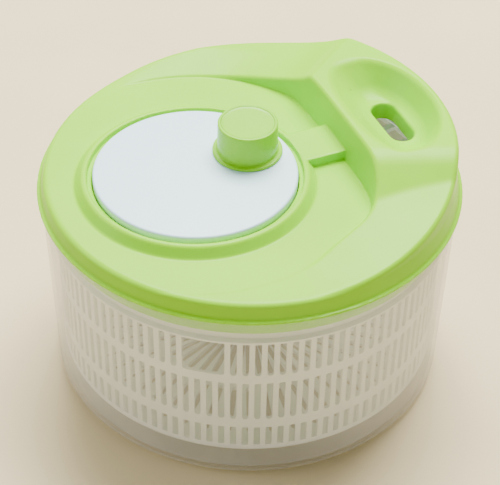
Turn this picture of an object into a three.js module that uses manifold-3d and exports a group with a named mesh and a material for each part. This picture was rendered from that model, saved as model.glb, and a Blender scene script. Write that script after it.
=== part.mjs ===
// Hand-cranked salad spinner: outer bowl, slotted basket and a geared lid.
// Millimetres, +Z up. The origin is the middle of the bowl's foot, +X points to the carrying handle.
import * as THREE from 'three';
import { mergeVertices } from 'three/addons/utils/BufferGeometryUtils.js';
import Module from 'manifold-3d';

const wasm = await Module();
wasm.setup();

// ---- driving dimensions ----
const GAP = 0.3;                  // clearance between pieces that touch or turn on each other
const ROUND = 48;                 // facets round the large turned shapes
const SMALL = 20;                 // facets round the small ones

const BOWL = { footR: 115.7, rimR: 120.6, rimZ: 123.5, wall: 2.2, floor: 2.5, corner: 4 };
const PIN = { r: 3, bossR: 7, bossZ: 8, top: 15 };
const CUP = { r: 7.5, bottom: 8.6, top: 17.2 };

const BASKET = {
  floorZ: 17.5, floor: 2.2, bottomR: 111.4, topR: 113.4, wall: 2, top: 118,
  columns: 104, slotShare: 0.54, beadZ: 104.5, beadR: 116, beadFacets: 52, windowColumns: 4,
  socketR: 10.5, socketBottom: 15, notches: 4, notchWidth: 12, notchZ: 112.6,
};
// start of the first wide window, as a share of a full turn from +X
const WINDOW_TURN = (360 - 124.8 - 5.2) / 360;
// slot rows, from the foot up: [lower edge, upper edge]
const SLOT_ROWS = [[21.8, 36], [42.8, 71], [77, 101]];
const FLOOR_SLOTS = { count: 24, inner: 26, outer: 98, width: 4.4 };

const FLANGE = { r: 122.5, z: 123.8, thick: 1.7 };
const LID = { top: 134.5, wallR: 120.4, edgeR: 117.6, skin: 2.3, skirtOut: 117.2, skirtIn: 115, skirtZ: 112.8 };
const CRANK_X = -33.75;           // ring gear pitch radius less pinion pitch radius
const DISC = { r: 58.3, top: 141.5, plate: 2.6, skirtR: 55, skirtZ: 135.2 };
const CUP_R = 61.6;               // recess that the crank disc turns in
const LEDGE = { r: 58.9, z: 137.5 };   // step inside the recess, just clear of the disc's edge
const CUP_FLOOR = { bottom: 124, top: 126.5 };
const BEZEL = { topR: 64.5, footR: 69, z: 140.5 };
const TAB = { halfWidth: 13.8, end: 53.5 };

const HANDLE = { top: 157, innerX: 56.8, outerR: 118.6, slope: 0.17, backR: 101.5, frontR: 103.3, frontNarrowing: 7.8 };
const WELL = { x: 87.6, halfX: 25.4, halfY: 46.3, floorX: 91.5, floorHalfX: 12, floorHalfY: 28, floorZ: 141, arcR: 113,
  points: 28 };
const DRAIN = { x: 91, width: 15, length: 38, bottom: 129.5 };

const GEAR = { module: 1.5, ring: 60, pinion: 15, backlash: 0.25, outerR: 54, bottom: 129.8, top: 136.7 };
const PINION = { bottom: 129.1, top: 136.2, shaftR: 3.9, shaftTop: 137.5, square: 6, squareTop: 117.3, end: 108.9 };
const BUSH = { r: 6, bore: 4.2, flangeR: 8.4, bottom: 118, flangeZ: 126.8, top: 128 };
const PLATE = { r: 23, top: 123.7, bottom: 120.8, hubR: 9.5, screwR: 17.5 };
const CRANK_BUSH = { r: 6.6, bore: 5.3, flangeR: 9, top: 134.2, flange: 1 };
const HUB = { r: 5, bottom: 123.7, bossR: 9.5, bossTop: 132.9 };
const DRIVER = { rimR: 110.9, ringR: 109.2, top: 117, bottom: 114.2, hubR: 12, spokes: 40, hubRing: 30, spoke: 3.4 };

const KNOB = {
  offset: 35.2, angle: 10, r: 17.2, flareR: 20.2, bottom: 141.8, top: 162, wall: 2, web: 150.2, postR: 4, postTop: 152.2,
};

const MATERIALS = {
  green: new THREE.MeshStandardMaterial({ color: 0x9fdb2e, roughness: 0.3, metalness: 0 }),
  white: new THREE.MeshStandardMaterial({ color: 0xe8f0f6, roughness: 0.4, metalness: 0 }),
  frosted: new THREE.MeshStandardMaterial({
    color: 0xe6e2d6, roughness: 0.35, metalness: 0, transparent: true, opacity: 0.4,
  }),
  milky: new THREE.MeshStandardMaterial({ color: 0xf1f3ec, roughness: 0.45, metalness: 0 }),
  acetal: new THREE.MeshStandardMaterial({ color: 0xf4f3ee, roughness: 0.5, metalness: 0 }),
  steel: new THREE.MeshStandardMaterial({ color: 0xb9bcc0, roughness: 0.35, metalness: 1 }),
};

// ---- helpers ----
const rad = THREE.MathUtils.degToRad;

function solid(geometry) {
  const plain = geometry.clone();
  plain.deleteAttribute('normal');
  plain.deleteAttribute('uv');
  const merged = mergeVertices(plain, 1e-4);
  const index = merged.index.array;
  const kept = [];
  for (let i = 0; i < index.length; i += 3) {
    const [a, b, c] = [index[i], index[i + 1], index[i + 2]];
    if (a !== b && b !== c && c !== a) kept.push(a, b, c);
  }
  const mesh = new wasm.Mesh({
    numProp: 3,
    vertProperties: Float32Array.from(merged.attributes.position.array),
    triVerts: Uint32Array.from(kept),
  });
  return new wasm.Manifold(mesh);
}

function union(...solids) {
  return solids.reduce((all, next) => all.add(next));
}

function cut(body, ...tools) {
  return tools.reduce((left, tool) => left.subtract(tool), body);
}

// A turned shape about a vertical axis. The profile is [radius, height] pairs, run anticlockwise.
function turned(profile, { x = 0, y = 0, facets = ROUND } = {}) {
  const points = profile.map(([r, z]) => new THREE.Vector2(r, z));
  if (profile[0][0] > 0) points.push(points[0].clone());
  const geometry = new THREE.LatheGeometry(points, facets);
  return solid(geometry.rotateX(Math.PI / 2).translate(x, y, 0));
}

function disc(r, z0, z1, { x = 0, y = 0, facets = SMALL } = {}) {
  const geometry = new THREE.CylinderGeometry(r, r, z1 - z0, facets);
  return solid(geometry.rotateX(Math.PI / 2).translate(x, y, (z0 + z1) / 2));
}

function ring(outer, inner, z0, z1, options = {}) {
  return turned([[inner, z0], [outer, z0], [outer, z1], [inner, z1]], { facets: SMALL, ...options });
}

function box(x0, x1, y0, y1, z0, z1) {
  const geometry = new THREE.BoxGeometry(x1 - x0, y1 - y0, z1 - z0);
  return solid(geometry.translate((x0 + x1) / 2, (y0 + y1) / 2, (z0 + z1) / 2));
}

function prism(shape, z0, z1, x = 0, y = 0) {
  const geometry = new THREE.ExtrudeGeometry(shape, { depth: z1 - z0, bevelEnabled: false });
  return solid(geometry.translate(x, y, z0));
}

function polar(r, degrees) {
  return [r * Math.cos(rad(degrees)), r * Math.sin(rad(degrees))];
}

function outline(points) {
  return new THREE.Shape(points.map(([x, y]) => new THREE.Vector2(x, y)));
}

// A closed skin through equal rings of points, with a flat cap on each end ring.
function loft(rings) {
  const count = rings[0].length;
  const triangles = [];
  for (let i = 0; i + 1 < rings.length; i += 1) {
    for (let j = 0; j < count; j += 1) {
      const a = i * count + j;
      const b = i * count + (j + 1) % count;
      triangles.push(a, b, b + count, a, b + count, a + count);
    }
  }
  const last = (rings.length - 1) * count;
  for (let j = 1; j + 1 < count; j += 1) {
    triangles.push(0, j + 1, j);
    triangles.push(last, last + j, last + j + 1);
  }
  const geometry = new THREE.BufferGeometry();
  geometry.setAttribute('position', new THREE.Float32BufferAttribute(rings.flat(2), 3));
  geometry.setIndex(triangles);
  return solid(geometry);
}

// The shank runs from the head to the tip, whichever way up the screw goes in.
function screw({ x, y, head, headR, tip }) {
  const [z0, z1] = head;
  const shank = tip > z1 ? disc(1.3, z0, tip, { x, y, facets: 12 }) : disc(1.3, tip, z1, { x, y, facets: 12 });
  return union(disc(headR, z0, z1, { x, y }), shank);
}

const spinner = new THREE.Group();

function piece(name, body, material) {
  const { vertProperties, triVerts } = body.getMesh();
  const geometry = new THREE.BufferGeometry();
  geometry.setAttribute('position', new THREE.BufferAttribute(Float32Array.from(vertProperties), 3));
  geometry.setIndex(new THREE.BufferAttribute(Uint32Array.from(triVerts), 1));
  geometry.computeVertexNormals();
  const mesh = new THREE.Mesh(geometry, material);
  mesh.name = name;
  spinner.add(mesh);
}

// ---- outer bowl ----
function bowlSolid() {
  const { footR, rimR, rimZ, wall, floor, corner } = BOWL;
  const shell = turned([
    [0, 0], [footR - corner, 0], [footR - 1, 1.2], [footR, corner], [rimR, rimZ], [rimR - wall, rimZ],
    [footR - wall, corner + 1], [footR - wall - corner, floor], [0, floor],
  ]);
  const boss = turned([[0, 1], [PIN.bossR + 3, 1], [PIN.bossR, PIN.bossZ], [0, PIN.bossZ]], { facets: SMALL });
  const hole = disc(PIN.r + GAP, floor, PIN.bossZ + 1);
  return cut(union(shell, boss), hole);
}

function pivotPin() {
  const { r, top } = PIN;
  const z = BOWL.floor + GAP;
  return turned([[0, z], [r, z], [r, top - 1.5], [r * 0.6, top - 0.4], [0, top]], { facets: SMALL });
}

function pivotCup() {
  const { r, bottom, top } = CUP;
  const inner = PIN.r + GAP;
  const ceiling = PIN.top + GAP;
  return turned([[0, ceiling], [inner, ceiling], [inner, bottom], [r, bottom], [r, top], [0, top]], { facets: SMALL });
}

// ---- basket ----
// The wall is a grid of cells, columns round and levels up, with a hole wherever a slot falls.
function basketWall() {
  const { columns, slotShare, bottomR, topR, wall, floorZ, top, windowColumns } = BASKET;
  const levels = [floorZ, ...SLOT_ROWS.flat(), top];
  const outerR = (z) => bottomR + (topR - bottomR) * (z - floorZ) / (top - floorZ);
  const steps = columns * 2;
  const angleOf = (step) => {
    const column = Math.floor(step / 2);
    const side = step % 2 === 0 ? -slotShare / 2 : slotShare / 2;
    return 2 * Math.PI * (column + side) / columns;
  };
  const windowStarts = [0, columns / 2].map((column) => column + Math.round(columns * WINDOW_TURN));
  const inWindow = (step) => windowStarts.some((start) => {
    const offset = (step - 2 * start + 2 * steps) % steps;
    return offset < 2 * windowColumns - 1;
  });
  const topRow = levels.length - 3;
  const open = (step, level) => level % 2 === 1 && level <= topRow
    && (step % 2 === 0 || (level === topRow && inWindow(step)));
  const cells = levels.length - 1;
  const positions = [];
  for (let step = 0; step < steps; step += 1) {
    for (const z of levels) {
      for (const r of [outerR(z), outerR(z) - wall]) {
        positions.push(r * Math.cos(angleOf(step)), r * Math.sin(angleOf(step)), z);
      }
    }
  }
  const vertex = (step, level, side) => ((step + steps) % steps * levels.length + level) * 2 + side;
  const triangles = [];
  const quad = (a, b, c, d) => triangles.push(a, b, c, a, c, d);
  const solidCell = (step, level) => level >= 0 && level < cells && !open((step + steps) % steps, level);
  for (let step = 0; step < steps; step += 1) {
    for (let level = 0; level < cells; level += 1) {
      if (!solidCell(step, level)) continue;
      const corner = (i, j, side) => vertex(step + i, level + j, side);
      quad(corner(0, 0, 0), corner(1, 0, 0), corner(1, 1, 0), corner(0, 1, 0));
      quad(corner(0, 0, 1), corner(0, 1, 1), corner(1, 1, 1), corner(1, 0, 1));
      if (!solidCell(step, level - 1)) quad(corner(0, 0, 0), corner(0, 0, 1), corner(1, 0, 1), corner(1, 0, 0));
      if (!solidCell(step, level + 1)) quad(corner(0, 1, 0), corner(1, 1, 0), corner(1, 1, 1), corner(0, 1, 1));
      if (!solidCell(step - 1, level)) quad(corner(0, 0, 0), corner(0, 1, 0), corner(0, 1, 1), corner(0, 0, 1));
      if (!solidCell(step + 1, level)) quad(corner(1, 0, 0), corner(1, 0, 1), corner(1, 1, 1), corner(1, 1, 0));
    }
  }
  const geometry = new THREE.BufferGeometry();
  geometry.setAttribute('position', new THREE.Float32BufferAttribute(positions, 3));
  geometry.setIndex(triangles);
  return solid(geometry);
}
function basketFloor() {
  const { floorZ, floor, bottomR, wall } = BASKET;
  const shape = new THREE.Shape();
  shape.absarc(0, 0, bottomR - wall / 2, 0, 2 * Math.PI, false);
  for (let i = 0; i < FLOOR_SLOTS.count; i += 1) {
    const turn = 360 * i / FLOOR_SLOTS.count;
    const half = FLOOR_SLOTS.width / 2;
    const corners = [[FLOOR_SLOTS.inner, -half], [FLOOR_SLOTS.outer, -half], [FLOOR_SLOTS.outer, half],
      [FLOOR_SLOTS.inner, half]];
    const turnedCorners = corners.map(([x, y]) => new THREE.Vector2(x, y).rotateAround(new THREE.Vector2(), rad(turn)));
    shape.holes.push(new THREE.Path(turnedCorners));
  }
  const geometry = new THREE.ExtrudeGeometry(shape, { depth: floor, bevelEnabled: false, curveSegments: 52 });
  return solid(geometry.translate(0, 0, floorZ));
}

function basketSolid() {
  const { beadZ, beadR, topR, socketR, socketBottom, floorZ, notches, notchWidth, notchZ, top } = BASKET;
  const bead = ring(beadR, topR - 1.2, beadZ - 1, beadZ + 1, { facets: BASKET.beadFacets });
  const socket = ring(socketR, CUP.r + GAP, socketBottom, floorZ + 0.5);
  const tools = [];
  for (let i = 0; i < notches; i += 1) {
    const notch = new THREE.BoxGeometry(20, notchWidth, top - notchZ + 2);
    notch.translate(topR, 0, (top + notchZ + 2) / 2).rotateZ(2 * Math.PI * i / notches + Math.PI / 4);
    tools.push(solid(notch));
  }
  return cut(union(basketWall(), basketFloor(), bead, socket), ...tools);
}

// ---- lid ----
// Distance from the lid's axis to the inner edge of the handle and its two tails, by bearing. The edge follows a
// circle about the crank, which draws in along the front tail, and is straight across the handle.
function innerEdge(degrees) {
  const a = rad(degrees);
  const straight = Math.cos(a) > 0.3 ? HANDLE.innerX / Math.cos(a) : Infinity;
  const narrowing = HANDLE.frontNarrowing * THREE.MathUtils.smoothstep(-degrees, 55, 82);
  const circleR = degrees < 0 ? HANDLE.frontR - narrowing : HANDLE.backR;
  const circle = CRANK_X * Math.cos(a) + Math.sqrt(circleR ** 2 - (CRANK_X * Math.sin(a)) ** 2);
  return Math.min(straight, circle);
}

// Key stations along the handle and its tails: [inner bearing, outer bearing, inner height, outer height].
// The back tail banks: its top falls towards the crank.
const RISE = [
  [-96, -96, 134.3, 134.3], [-83, -83, 136.6, 136.6], [-72, -72, 138.7, 138.7], [-61, -61, 141.3, 141.3],
  [-48, -39, 146.2, 147.6], [-36, -30, HANDLE.top, HANDLE.top], [37.5, 36, HANDLE.top, HANDLE.top],
  [42, 42, 150.3, 150.3], [47, 47, 146.7, 146.7], [53, 53, 143.1, 143.9], [60, 60, 139.7, 142],
  [72, 72, 136.9, 140.5], [87, 87, 134.9, 139.4], [97, 97, 134.3, 137.2], [110, 110, 134.3, 134.3],
];
const STATION_STEP = 7;           // largest turn between two stations, in degrees

function riseStations() {
  const stations = [RISE[0]];
  for (let i = 1; i < RISE.length; i += 1) {
    const steps = Math.ceil((RISE[i][0] - RISE[i - 1][0]) / STATION_STEP);
    for (let j = 1; j <= steps; j += 1) {
      stations.push(RISE[i].map((value, k) => THREE.MathUtils.lerp(RISE[i - 1][k], value, j / steps)));
    }
  }
  return stations;
}

function riseSolid(inset, bottom) {
  const rings = riseStations().map(([innerBearing, outerBearing, innerHeight, outerHeight]) => {
    const innerZ = Math.max(innerHeight - inset, bottom + 0.5);
    const outerZ = Math.max(outerHeight - inset, bottom + 0.5);
    const topIn = innerEdge(innerBearing) + inset;
    const footIn = topIn - HANDLE.slope * Math.max(0, innerZ - LID.top);
    const swell = THREE.MathUtils.smoothstep(outerHeight, LID.top, LID.top + 6);
    const outer = THREE.MathUtils.lerp(LID.edgeR - 0.3, HANDLE.outerR, swell) - inset * 1.2;
    return [
      [...polar(topIn, innerBearing), innerZ], [...polar(outer - 0.6 * swell, outerBearing), outerZ],
      [...polar(outer, outerBearing), bottom], [...polar(footIn, innerBearing), bottom],
    ];
  });
  return loft(rings);
}

// The well is a rounded rectangle that bends with the rim, narrowing towards its floor.
function wellRing(x, halfX, halfY, z) {
  const points = [];
  const corner = 0.72;
  for (let i = 0; i < WELL.points; i += 1) {
    const a = 2 * Math.PI * i / WELL.points;
    const across = Math.sign(Math.cos(a)) * Math.abs(Math.cos(a)) ** corner;
    const along = Math.sign(Math.sin(a)) * Math.abs(Math.sin(a)) ** corner;
    const y = halfY * along;
    const bend = WELL.arcR - Math.sqrt(WELL.arcR ** 2 - y * y);
    points.push([x + halfX * across - bend * (across + 1) / 2, y, z]);
  }
  return points;
}

function wellSolid(skin) {
  const { x, halfX, halfY, floorX, floorHalfX, floorHalfY, floorZ } = WELL;
  return loft([
    wellRing(floorX, floorHalfX + skin, floorHalfY + skin, floorZ - skin),
    wellRing(x, halfX + skin, halfY + skin, HANDLE.top + 0.5),
  ]);
}

function drainSolid(skin, z0, z1) {
  const half = DRAIN.width / 2 + skin;
  const straight = (DRAIN.length - DRAIN.width) / 2;
  const shape = new THREE.Shape();
  shape.absarc(0, straight, half, 0, Math.PI, false);
  shape.absarc(0, -straight, half, Math.PI, 2 * Math.PI, false);
  return prism(outline(shape.getPoints(8).map(({ x, y }) => [x, y])), z0, z1, DRAIN.x, 0);
}

function plateScrewPlaces() {
  return [60, 180, 300].map((degrees) => polar(PLATE.screwR, degrees));
}

function lidSolid() {
  const { top, wallR, edgeR, skin, skirtOut, skirtIn, skirtZ } = LID;
  const flangeTop = FLANGE.z + FLANGE.thick;
  const drum = turned([
    [0, FLANGE.z], [FLANGE.r, FLANGE.z], [FLANGE.r, flangeTop], [wallR, flangeTop], [wallR - 0.8, top - 2.2],
    [edgeR + 0.9, top - 0.6], [edgeR, top], [0, top],
  ]);
  const skirt = ring(skirtOut, skirtIn, skirtZ, FLANGE.z + 1, { facets: ROUND });
  const crank = { x: CRANK_X };
  const bezel = turned([[0, top - 2], [BEZEL.footR, top - 2], [BEZEL.footR, top], [BEZEL.topR, BEZEL.z], [0, BEZEL.z]], crank);
  const tab = box(0, TAB.end, -TAB.halfWidth, TAB.halfWidth, top - 2, BEZEL.z);
  const cupWall = disc(LEDGE.r + skin, CUP_FLOOR.bottom, top, { ...crank, facets: ROUND });
  const under = cut(disc(skirtIn, skirtZ - 1, top - skin, { facets: ROUND }), cupWall);
  const cup = turned([[0, CUP_FLOOR.top], [LEDGE.r, CUP_FLOOR.top], [LEDGE.r, LEDGE.z], [CUP_R, LEDGE.z],
    [CUP_R, BEZEL.z + 1], [0, BEZEL.z + 1]], crank);
  const tabUnder = box(CRANK_X + CUP_R + skin, TAB.end - skin, -TAB.halfWidth + skin, TAB.halfWidth - skin,
    top - skin - 1, BEZEL.z - skin);
  const tub = union(wellSolid(skin), drainSolid(skin, DRAIN.bottom, WELL.floorZ));
  const riseUnder = cut(riseSolid(skin, top - skin - 1), tub);
  const shell = cut(union(drum, skirt, bezel, tab, riseSolid(0, top - 2)), under, cup, tabUnder, riseUnder);
  const bosses = [disc(HUB.bossR, CUP_FLOOR.bottom, HUB.bossTop, crank)];
  const holes = [
    disc(CRANK_BUSH.r + GAP, CUP_FLOOR.bottom - 1, HUB.bossTop + 1, crank),
    disc(BUSH.r + GAP, CUP_FLOOR.bottom - 1, CUP_FLOOR.top + 1),
    wellSolid(0),
    drainSolid(0, DRAIN.bottom - 2, WELL.floorZ + 1),
  ];
  for (const [x, y] of plateScrewPlaces()) {
    bosses.push(disc(3.6, CUP_FLOOR.top - 1, 129.3, { x, y, facets: 16 }));
    holes.push(disc(1.6, CUP_FLOOR.bottom - 1, 128.6, { x, y, facets: 12 }));
  }
  return cut(union(shell, ...bosses), ...holes);
}

// ---- gear train ----
function gearOutline(teeth, tipR, rootR, halfTooth, tipShrink) {
  const points = [];
  const pitchR = GEAR.module * teeth / 2;
  const half = halfTooth / pitchR;
  for (let i = 0; i < teeth; i += 1) {
    const middle = 2 * Math.PI * i / teeth;
    for (const [r, a] of [[rootR, -half - tipShrink], [tipR, -half + tipShrink], [tipR, half - tipShrink],
      [rootR, half + tipShrink]]) {
      points.push([r * Math.cos(middle + a), r * Math.sin(middle + a)]);
    }
  }
  return points;
}

const HALF_TOOTH = Math.PI * GEAR.module / 4 - GEAR.backlash;

function ringGear() {
  const pitchR = GEAR.module * GEAR.ring / 2;
  const shape = new THREE.Shape();
  shape.absarc(0, 0, GEAR.outerR, 0, 2 * Math.PI, false);
  const teeth = gearOutline(GEAR.ring, pitchR - 1.2, pitchR + 1.7, HALF_TOOTH, 0.011);
  const pitchTurn = new THREE.Vector2();
  const halfPitch = Math.PI / GEAR.ring;
  const path = teeth.map(([x, y]) => new THREE.Vector2(x, y).rotateAround(pitchTurn, halfPitch));
  shape.holes.push(new THREE.Path(path));
  const geometry = new THREE.ExtrudeGeometry(shape, {
    depth: GEAR.top - GEAR.bottom, bevelEnabled: false, curveSegments: ROUND / 2,
  });
  const body = solid(geometry.translate(CRANK_X, 0, GEAR.bottom));
  const holes = discScrewPlaces().flatMap(([x, y]) => [
    disc(2.7, GEAR.bottom - 1, GEAR.bottom + 2.2, { x, y, facets: 16 }),
    disc(1.6, GEAR.bottom, GEAR.top + 1, { x, y, facets: 12 }),
  ]);
  return cut(body, ...holes);
}

function discScrewPlaces() {
  return [90, 210, 330].map((degrees) => polar(50.4, degrees)).map(([x, y]) => [x + CRANK_X, y]);
}

function drivePinion() {
  const pitchR = GEAR.module * GEAR.pinion / 2;
  const teeth = prism(outline(gearOutline(GEAR.pinion, pitchR + 1.2, pitchR - 1.7, HALF_TOOTH, 0.045)),
    PINION.bottom, PINION.top);
  const shaft = disc(PINION.shaftR, PINION.squareTop, PINION.shaftTop);
  const half = PINION.square / 2;
  const square = box(-half, half, -half, half, PINION.end, PINION.squareTop + 0.5);
  const hole = disc(1.6, PINION.end - 1, 116, { facets: 12 });
  return cut(union(teeth, shaft, square), hole);
}

function crankDisc() {
  const crank = { x: CRANK_X };
  const { r, top, plate, skirtR, skirtZ } = DISC;
  const under = top - plate;
  const shell = turned([
    [0, under], [skirtR, under], [skirtR, skirtZ], [r, skirtZ], [r, top - 0.6], [r - 0.6, top], [0, top],
  ], crank);
  const hub = disc(HUB.r, HUB.bottom, under + 1, crank);
  const [knobX, knobY] = knobPlace();
  const post = disc(KNOB.postR, top - 1, KNOB.postTop, { x: knobX, y: knobY });
  const bosses = discScrewPlaces().map(([x, y]) => disc(3.4, GEAR.top + GAP, under + 1, { x, y, facets: 16 }));
  const holes = discScrewPlaces().map(([x, y]) => disc(1.6, GEAR.top, under + 1.4, { x, y, facets: 12 }));
  const hubHole = disc(1.6, HUB.bottom - 1, 136, { ...crank, facets: 12 });
  const postHole = disc(1.6, 143, KNOB.postTop + 1, { x: knobX, y: knobY, facets: 12 });
  return cut(union(shell, hub, post, ...bosses), ...holes, hubHole, postHole);
}

function crankBush() {
  const { r, bore, flangeR, top, flange } = CRANK_BUSH;
  return turned([[bore, CUP_FLOOR.bottom], [r, CUP_FLOOR.bottom], [r, top - flange], [flangeR, top - flange],
    [flangeR, top], [bore, top]], { x: CRANK_X, facets: SMALL });
}

function shaftBush() {
  const { r, bore, flangeR, bottom, flangeZ, top } = BUSH;
  return turned([[bore, bottom], [r, bottom], [r, flangeZ], [flangeR, flangeZ], [flangeR, top], [bore, top]],
    { facets: SMALL });
}

function bearingPlate() {
  const { r, top, bottom, hubR } = PLATE;
  const body = turned([[0, BUSH.bottom], [hubR, BUSH.bottom], [hubR, bottom], [r, bottom], [r, top], [0, top]],
    { facets: 36 });
  const holes = plateScrewPlaces().map(([x, y]) => disc(1.6, bottom - 1, top + 1, { x, y, facets: 12 }));
  return cut(body, disc(BUSH.r + GAP, BUSH.bottom - 1, top + 1), ...holes);
}

function driverDisc() {
  const { rimR, ringR, top, bottom, hubR, spokes, hubRing, spoke } = DRIVER;
  const shape = new THREE.Shape();
  shape.absarc(0, 0, rimR, 0, 2 * Math.PI, false);
  const pitch = 2 * Math.PI / spokes;
  for (let i = 0; i < spokes; i += 1) {
    const middle = pitch * i;
    const corners = [[hubRing, -1], [ringR, -1], [ringR, 1], [hubRing, 1]].map(([r, side]) => {
      const a = middle + side * (pitch / 2 - spoke / 2 / r);
      return new THREE.Vector2(r * Math.cos(a), r * Math.sin(a));
    });
    shape.holes.push(new THREE.Path(corners));
  }
  const geometry = new THREE.ExtrudeGeometry(shape, { depth: top - bottom, bevelEnabled: false, curveSegments: 32 });
  const web = solid(geometry.translate(0, 0, bottom));
  const hub = disc(hubR, PINION.end + GAP, top);
  const lugs = [];
  for (let i = 0; i < BASKET.notches; i += 1) {
    const lug = new THREE.BoxGeometry(6, BASKET.notchWidth - 1.6, top - bottom);
    lug.translate(rimR - 0.2, 0, (top + bottom) / 2).rotateZ(2 * Math.PI * i / BASKET.notches + Math.PI / 4);
    lugs.push(solid(lug));
  }
  const half = PINION.square / 2 + GAP;
  const hole = box(-half, half, -half, half, PINION.end, top + 1);
  return cut(union(web, hub, ...lugs), hole);
}

// ---- knob ----
function knobPlace() {
  const [x, y] = polar(KNOB.offset, KNOB.angle);
  return [x + CRANK_X, y];
}

function knobBody() {
  const [x, y] = knobPlace();
  const { r, flareR, bottom, top, wall, web, postR } = KNOB;
  const sleeve = postR + GAP;
  return turned([
    [sleeve, bottom], [sleeve + 2.4, bottom], [sleeve + 2.4, web], [r - wall, web], [flareR - wall - 1, bottom],
    [flareR, bottom], [flareR, bottom + 1.6], [r + 0.7, bottom + 2.1], [r + 0.4, bottom + 3], [r, top - 1],
    [r - 0.8, top], [r - 1.8, top - 0.4], [r - 1.8, top - 3.6], [r - 3.2, top - 3.8], [r - 3.4, web + wall],
    [sleeve, web + wall],
  ], { x, y, facets: 24 });
}

function knobCap() {
  const [x, y] = knobPlace();
  const r = KNOB.r - 1.8 - GAP;
  return turned([[0, KNOB.top - 3.3], [r, KNOB.top - 3.3], [r, KNOB.top - 0.8], [r - 1, KNOB.top - 0.5],
    [0, KNOB.top - 0.5]], { x, y, facets: 24 });
}

// ---- the assembly ----
const [knobX, knobY] = knobPlace();

piece('outer_bowl', bowlSolid(), MATERIALS.frosted);
piece('pivot_pin', pivotPin(), MATERIALS.steel);
piece('pivot_cup', pivotCup(), MATERIALS.acetal);
piece('basket', basketSolid(), MATERIALS.milky);
piece('lid_shell', lidSolid(), MATERIALS.green);
piece('crank_bush', crankBush(), MATERIALS.acetal);
piece('shaft_bush', shaftBush(), MATERIALS.acetal);
piece('bearing_plate', bearingPlate(), MATERIALS.white);
plateScrewPlaces().forEach(([x, y], i) => {
  piece(`bearing_plate_screw_${i + 1}`, screw({ x, y, head: [118.7, 120.5], headR: 2.9, tip: 128.3 }), MATERIALS.steel);
});
piece('crank_disc', crankDisc(), MATERIALS.white);
piece('ring_gear', ringGear(), MATERIALS.acetal);
discScrewPlaces().forEach(([x, y], i) => {
  piece(`ring_gear_screw_${i + 1}`, screw({ x, y, head: [129.9, 131.7], headR: 2.3, tip: 140 }), MATERIALS.steel);
});
piece('crank_washer', ring(8.5, 1.7, 122.5, 123.3, { x: CRANK_X }), MATERIALS.steel);
piece('crank_screw', screw({ x: CRANK_X, y: 0, head: [120, 122.2], headR: 4, tip: 135 }), MATERIALS.steel);
piece('knob_body', knobBody(), MATERIALS.green);
piece('knob_cap', knobCap(), MATERIALS.green);
piece('knob_washer', ring(7, 1.7, 152.6, 153.4, { x: knobX, y: knobY }), MATERIALS.steel);
piece('knob_screw', screw({ x: knobX, y: knobY, head: [153.7, 155.6], headR: 3.6, tip: 144 }), MATERIALS.steel);
piece('drive_pinion', drivePinion(), MATERIALS.acetal);
piece('thrust_washer', ring(7.8, 4.3, 128.3, 128.8), MATERIALS.steel);
piece('driver_disc', driverDisc(), MATERIALS.white);
piece('driver_washer', ring(8, 1.7, 107.8, 108.6), MATERIALS.steel);
piece('driver_screw', screw({ x: 0, y: 0, head: [105.4, 107.5], headR: 3.6, tip: 115.5 }), MATERIALS.steel);

export default spinner;
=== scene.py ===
"""Looks of the hand-cranked salad spinner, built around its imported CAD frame."""
import math

import bmesh
import bpy
import numpy as np
from mathutils import Matrix, Vector


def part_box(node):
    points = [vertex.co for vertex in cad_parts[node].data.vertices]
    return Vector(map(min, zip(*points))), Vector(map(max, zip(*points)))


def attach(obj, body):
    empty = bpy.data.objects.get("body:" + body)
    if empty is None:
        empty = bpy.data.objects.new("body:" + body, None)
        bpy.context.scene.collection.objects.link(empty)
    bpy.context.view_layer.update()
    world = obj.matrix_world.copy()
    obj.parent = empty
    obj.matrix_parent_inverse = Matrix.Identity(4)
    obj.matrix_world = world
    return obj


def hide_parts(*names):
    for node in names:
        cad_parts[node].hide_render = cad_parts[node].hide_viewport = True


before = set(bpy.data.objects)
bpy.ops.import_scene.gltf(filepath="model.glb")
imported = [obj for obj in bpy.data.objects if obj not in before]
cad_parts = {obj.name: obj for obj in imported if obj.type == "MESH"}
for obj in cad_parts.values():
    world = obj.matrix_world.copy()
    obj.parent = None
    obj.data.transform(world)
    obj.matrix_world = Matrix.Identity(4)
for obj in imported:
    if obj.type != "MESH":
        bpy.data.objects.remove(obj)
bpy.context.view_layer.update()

MM = 0.001
scene = bpy.context.scene


# ---------------------------------------------------------------- places read from the frame, in mm
def node_box(node):
    low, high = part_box(node)
    return np.array(low) / MM, np.array(high) / MM


def middle(node):
    low, high = node_box(node)
    return (low[0] + high[0]) / 2, (low[1] + high[1]) / 2


BOWL_HIGH = node_box("outer_bowl")[1]
LID_LOW, LID_HIGH = node_box("lid_shell")
DISC_LOW, DISC_HIGH = node_box("crank_disc")
KNOB_LOW, KNOB_HIGH = node_box("knob_body")
BASKET_LOW, BASKET_HIGH = node_box("basket")
DRIVER_LOW, DRIVER_HIGH = node_box("driver_disc")

CRANK_X = (DISC_LOW[0] + DISC_HIGH[0]) / 2
KNOB_X, KNOB_Y = middle("knob_body")
LID_TOP = 134.5                   # main upper face of the lid
HANDLE_TOP = LID_HIGH[2]
DISC_R = (DISC_HIGH[0] - DISC_LOW[0]) / 2
DISC_TOP = 141.5                  # upper face of the crank disc


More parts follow.
